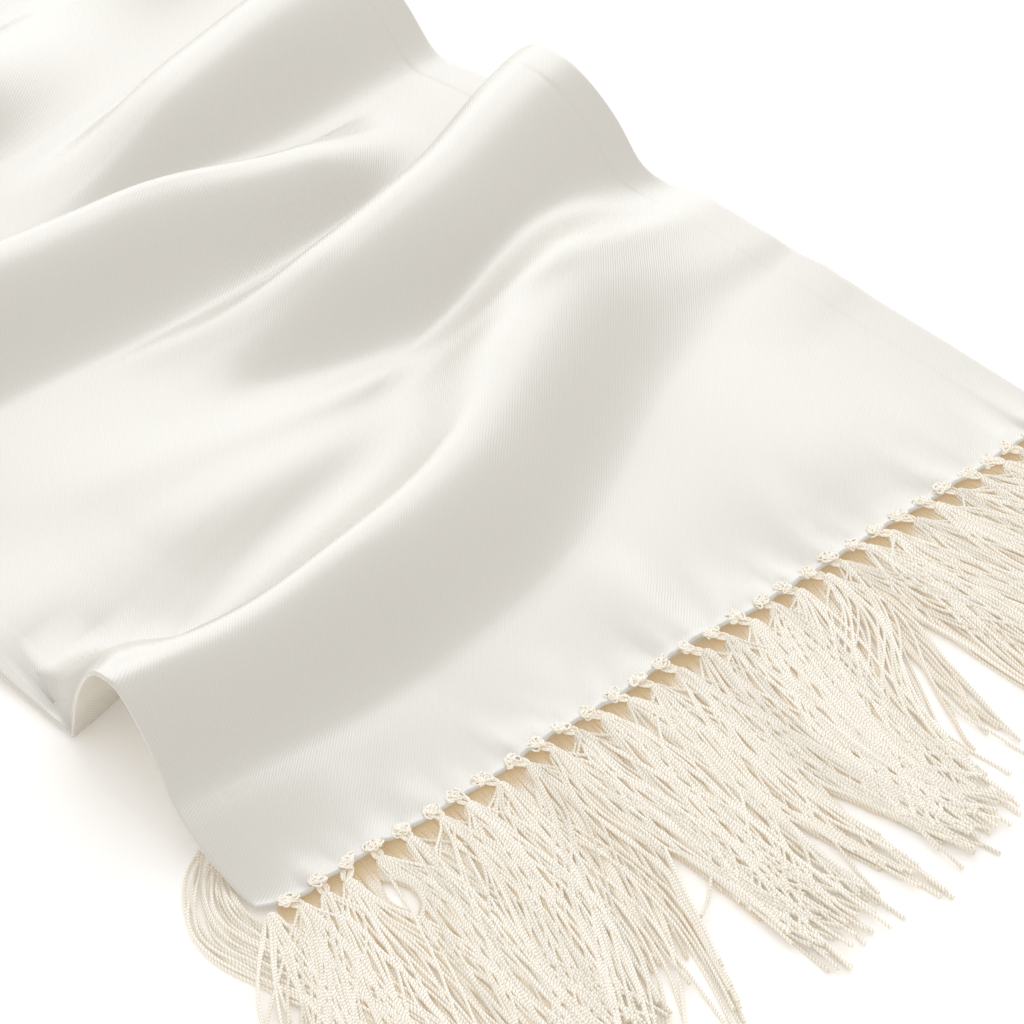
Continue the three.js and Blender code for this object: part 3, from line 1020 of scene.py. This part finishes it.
def shared_material(make, name):
    """The material of that name, made once."""
    scene = bpy.context.scene
    return bpy.data.materials.get(name) or make(name, scene.scarf_sizes, scene.scarf_colours)


def claim(piece, node):
    """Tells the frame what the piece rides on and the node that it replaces."""
    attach(piece, BODY)
    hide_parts(node)


class SCARF_OT_cloth(bpy.types.Operator):
    """Makes the upper and lower panels of the silk tube"""

    bl_idname = "scarf.cloth"
    bl_label = "Make the cloth"

    def execute(self, context):
        sizes = context.scene.scarf_sizes
        silk = shared_material(silk_material, "silk_twill")
        under, _ = panel_object("silk_lower", sizes, silk, bridged=False, low=0, high=0.46, fine=0.62)
        over, length = panel_object("silk_upper", sizes, silk, bridged=True, low=0.52, high=1, fine=1)
        claim(under, "lower_panel")
        claim(over, "upper_panel")
        context.scene["scarf_flat_length"] = length
        return {"FINISHED"}


class SCARF_OT_fringes(bpy.types.Operator):
    """Makes the cords of both fringes"""

    bl_idname = "scarf.fringes"
    bl_label = "Make the fringes"

    def execute(self, context):
        sizes = context.scene.scarf_sizes
        cord = shared_material(cord_material, "twisted_cord")
        for side, end in (("near", NEAR_END), ("far", FAR_END)):
            for piece in make_fringe("cords_" + side, end, sizes, cord):
                claim(piece, "fringe_" + side)
        return {"FINISHED"}


class SCARF_OT_knots(bpy.types.Operator):
    """Makes the row of knots on each hem"""

    bl_idname = "scarf.knots"
    bl_label = "Make the knots"

    def execute(self, context):
        sizes = context.scene.scarf_sizes
        cord = shared_material(cord_material, "fine_cord")
        for side, end in (("near", NEAR_END), ("far", FAR_END)):
            claim(make_knots("loops_" + side, end, sizes, cord), "knots_" + side)
        return {"FINISHED"}


class SCARF_OT_declare(bpy.types.Operator):
    """Checks that the cloth has been made, and stops with an error if it has not"""

    bl_idname = "scarf.declare"
    bl_label = "Declare the cloth"

    def execute(self, context):
        if "scarf_flat_length" not in context.scene:
            raise RuntimeError("the cloth has to be made before it is declared")
        return {"FINISHED"}


# The stage, in metres. Headings are clockwise of +Y. The world is darker for glossy rays.
CAMERA_PLACE = Vector((-0.5320, -1.2498, 0.6396))
CAMERA_HEADING = math.radians(42.79)
CAMERA_DOWN = math.radians(39.13)
CAMERA_LENS = 134.0
SCENE_MIDDLE = Vector((0, -0.62, 0))
FLOOR_REACH = 6
LIGHT_HEADING = math.radians(36)
LIGHT_RISE = math.radians(25)
LIGHT_DISTANCE = 3.0
LIGHT_SIZE = (3.3, 2.5)
LIGHT_RADIANCE = 1.58
LIGHT_COLOUR = (0.96, 0.98, 1)
WORLD_LIGHT = 1.0
WORLD_IN_GLOSS = 0.67


def direction(heading, rise):
    """The way to a heading, upwards by the rise."""
    level = math.cos(rise)
    return Vector((math.sin(heading) * level, math.cos(heading) * level, math.sin(rise)))


def soft_box(name):
    """The one light: a large soft box behind the scarf that faces its near end."""
    out = direction(LIGHT_HEADING, LIGHT_RISE)
    data = bpy.data.lights.new(name, "AREA")
    data.shape = "RECTANGLE"
    data.size, data.size_y = LIGHT_SIZE
    data.energy = LIGHT_RADIANCE * math.pi * LIGHT_SIZE[0] * LIGHT_SIZE[1]
    data.color = LIGHT_COLOUR
    lamp = new_object(name, data)
    lamp.location = SCENE_MIDDLE + out * LIGHT_DISTANCE
    lamp.rotation_euler = (-out).to_track_quat("-Z", "Y").to_euler()


class SCARF_OT_stage(bpy.types.Operator):
    """Makes the floor, the soft studio light and the camera"""

    bl_idname = "scarf.stage"
    bl_label = "Make the stage"

    def execute(self, context):
        scene = context.scene
        scene.view_settings.view_transform = "Standard"
        world = bpy.data.worlds.new("studio")
        world.use_nodes = True
        add, feed, _, _ = node_maker(world.node_tree, "ShaderNode")
        gloss = add("LightPath").outputs["Is Glossy Ray"]
        strength = add("MapRange", {"Value": gloss, "To Min": WORLD_LIGHT, "To Max": WORLD_IN_GLOSS})
        feed(world.node_tree.nodes["Background"], {"Color": (1, 1, 1, 1), "Strength": strength})
        scene.world = world
        mesh = bpy.data.meshes.new("floor")
        corners = [(x * FLOOR_REACH, y * FLOOR_REACH, 0) for x, y in ((-1, -1), (1, -1), (1, 1), (-1, 1))]
        mesh.from_pydata(corners, [], [(0, 1, 2, 3)])
        mesh.materials.append(shared_material(floor_material, "pale_floor"))
        floor = new_object("floor", mesh)
        soft_box("back_soft_box")
        data = bpy.data.cameras.new("camera")
        data.lens = CAMERA_LENS
        data.clip_start = 0.01
        camera = new_object("camera", data)
        ahead = direction(CAMERA_HEADING, -CAMERA_DOWN)
        right = Vector((math.cos(CAMERA_HEADING), -math.sin(CAMERA_HEADING), 0))
        up = right.cross(ahead)
        turn = Matrix((right, up, -ahead)).transposed().to_4x4()
        camera.matrix_world = Matrix.Translation(CAMERA_PLACE) @ turn
        scene.camera = camera
        return {"FINISHED"}


class SCARF_PT_panel(bpy.types.Panel):
    """Lists the scarf's sizes, colours and steps"""

    bl_label = "Silk scarf"
    bl_idname = "SCARF_PT_panel"
    bl_space_type = "VIEW_3D"
    bl_region_type = "UI"
    bl_category = "Scarf"

    def draw(self, context):
        for group in (context.scene.scarf_sizes, context.scene.scarf_colours):
            box = self.layout.box()
            for key in group.__annotations__:
                box.prop(group, key)
        for step in STEPS:
            self.layout.operator(step.bl_idname)


STEPS = (SCARF_OT_cloth, SCARF_OT_fringes, SCARF_OT_knots, SCARF_OT_declare, SCARF_OT_stage)
CLASSES = (ScarfSizes, ScarfColours, *STEPS, SCARF_PT_panel)


def register():
    for item in CLASSES:
        bpy.utils.register_class(item)
    bpy.types.Scene.scarf_sizes = bpy.props.PointerProperty(type=ScarfSizes)
    bpy.types.Scene.scarf_colours = bpy.props.PointerProperty(type=ScarfColours)


def unregister():
    del bpy.types.Scene.scarf_colours
    del bpy.types.Scene.scarf_sizes
    for item in reversed(CLASSES):
        bpy.utils.unregister_class(item)


def main():
    register()
    bpy.ops.scarf.cloth()
    bpy.ops.scarf.fringes()
    bpy.ops.scarf.knots()
    bpy.ops.scarf.declare()
    bpy.ops.scarf.stage()


if __name__ == "__main__":
    main()
